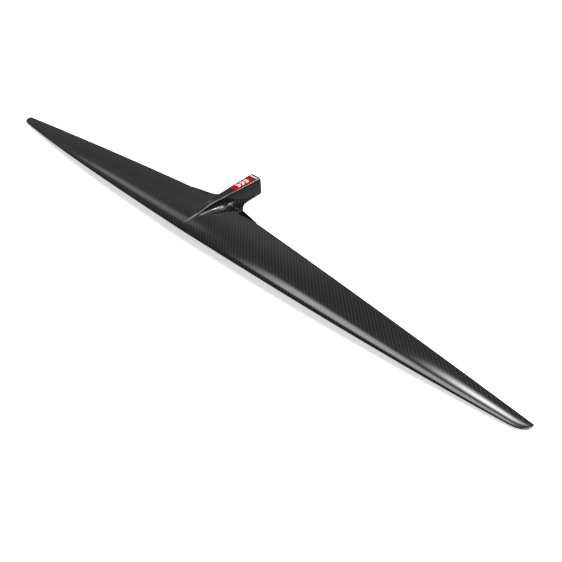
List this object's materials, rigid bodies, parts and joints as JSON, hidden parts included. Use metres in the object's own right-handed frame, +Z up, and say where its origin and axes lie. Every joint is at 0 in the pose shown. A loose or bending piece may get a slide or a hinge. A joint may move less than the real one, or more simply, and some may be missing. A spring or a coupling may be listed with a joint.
{
  "type": "hydrofoil front wing",
  "caption": "High aspect carbon front wing for a hydrofoil, with a tapered stub socket that slides over the fuselage's tenon and is screwed from below.",
  "frame": {"origin": "centre of the mouth of the stub's socket, on the stub's axis", "axes": "+X runs along the span to one tip, +Y points aft out of the socket's mouth, +Z is up"},
  "size_m": [1.25, 0.1922, 0.0358],
  "materials": {
    "twill_carbon": "clear-coated 2 by 2 carbon twill",
    "straight_carbon": "unidirectional carbon laminate",
    "foam": "closed-cell core foam",
    "glass_liner": "glass laminate sleeve",
    "stainless": "turned stainless",
    "black_resin": "cast black resin",
    "label_red": "printed film under clear coat",
    "label_white": "printed film under clear coat"
  },
  "bodies": {
    "root": {"upper_skin": "twill_carbon", "lower_skin": "twill_carbon", "stub_shell": "twill_carbon", "stub_nose": "twill_carbon", "stub_belly": "twill_carbon", "fairing_right": "twill_carbon", "fairing_left": "twill_carbon", "nose_roving_right": "straight_carbon", "nose_roving_left": "straight_carbon", "tail_strip_right": "straight_carbon", "tail_strip_left": "straight_carbon", "tip_filler_right": "straight_carbon", "tip_filler_left": "straight_carbon", "upper_spar_cap": "straight_carbon", "lower_spar_cap": "straight_carbon", "spar_web": "straight_carbon", "root_block_front": "straight_carbon", "root_block_rear": "straight_carbon", "stub_core": "straight_carbon", "front_core_right": "foam", "front_core_left": "foam", "rear_core_right": "foam", "rear_core_left": "foam", "socket_liner": "glass_liner", "screw_bushings": "stainless", "notch_insert_right": "black_resin", "notch_insert_left": "twill_carbon", "label_panel": "label_red", "label_device": "label_white", "label_bar": "label_white"}
  },
  "joints": []
}
